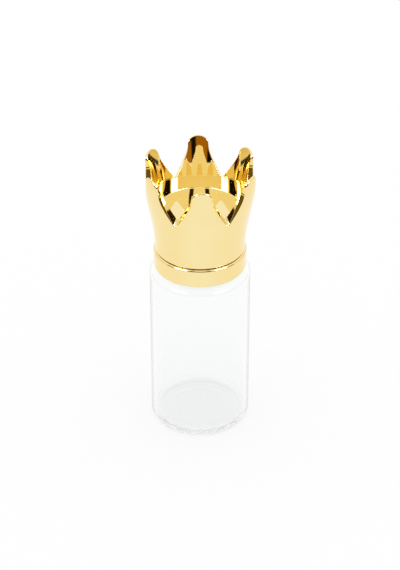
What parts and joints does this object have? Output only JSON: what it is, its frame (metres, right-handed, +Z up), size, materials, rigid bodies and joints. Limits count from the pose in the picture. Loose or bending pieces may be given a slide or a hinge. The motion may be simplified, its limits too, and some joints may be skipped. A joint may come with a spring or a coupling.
{
  "type": "glass vial",
  "caption": "Cylindrical clear glass vial with a threaded neck, closed by a gold-plated screw cap shaped like an open crown with flared rounded points.",
  "frame": {"origin": "centre of the flat ring that the vial stands on", "axes": "+Z up along the axis of the vial, towards the crown; -Y is the front, where one crown point faces"},
  "size_m": [0.0314, 0.0338, 0.088],
  "materials": {
    "clear_glass": "clear soda-lime or borosilicate glass, fire polished",
    "plated_gold": "pale gold metal plating over moulded plastic, mirror bright",
    "insert_plastic": "natural white moulded polypropylene",
    "liner_foam": "white expanded polyethylene disc"
  },
  "bodies": {
    "vial": {"glass_vial": "clear_glass"},
    "liner": {"sealing_liner": "liner_foam"},
    "cap": {"crown_shell": "plated_gold", "collar_ring": "plated_gold", "threaded_insert": "insert_plastic"}
  },
  "joints": [
    {"name": "cap_lift", "type": "slide", "parent": "vial", "child": "liner", "axis": [0, 0, 1], "range_m": [0, 0.0254]},
    {"name": "cap_turn", "type": "hinge", "parent": "liner", "child": "cap", "pos_m": [0, 0, 0.0611], "axis": [0, 0, 1], "range_deg": [0, 2880]}
  ],
  "couplings": [
    {"joint": "cap_lift", "follows": "cap_turn", "m_per_rad": 0.00050532}
  ]
}
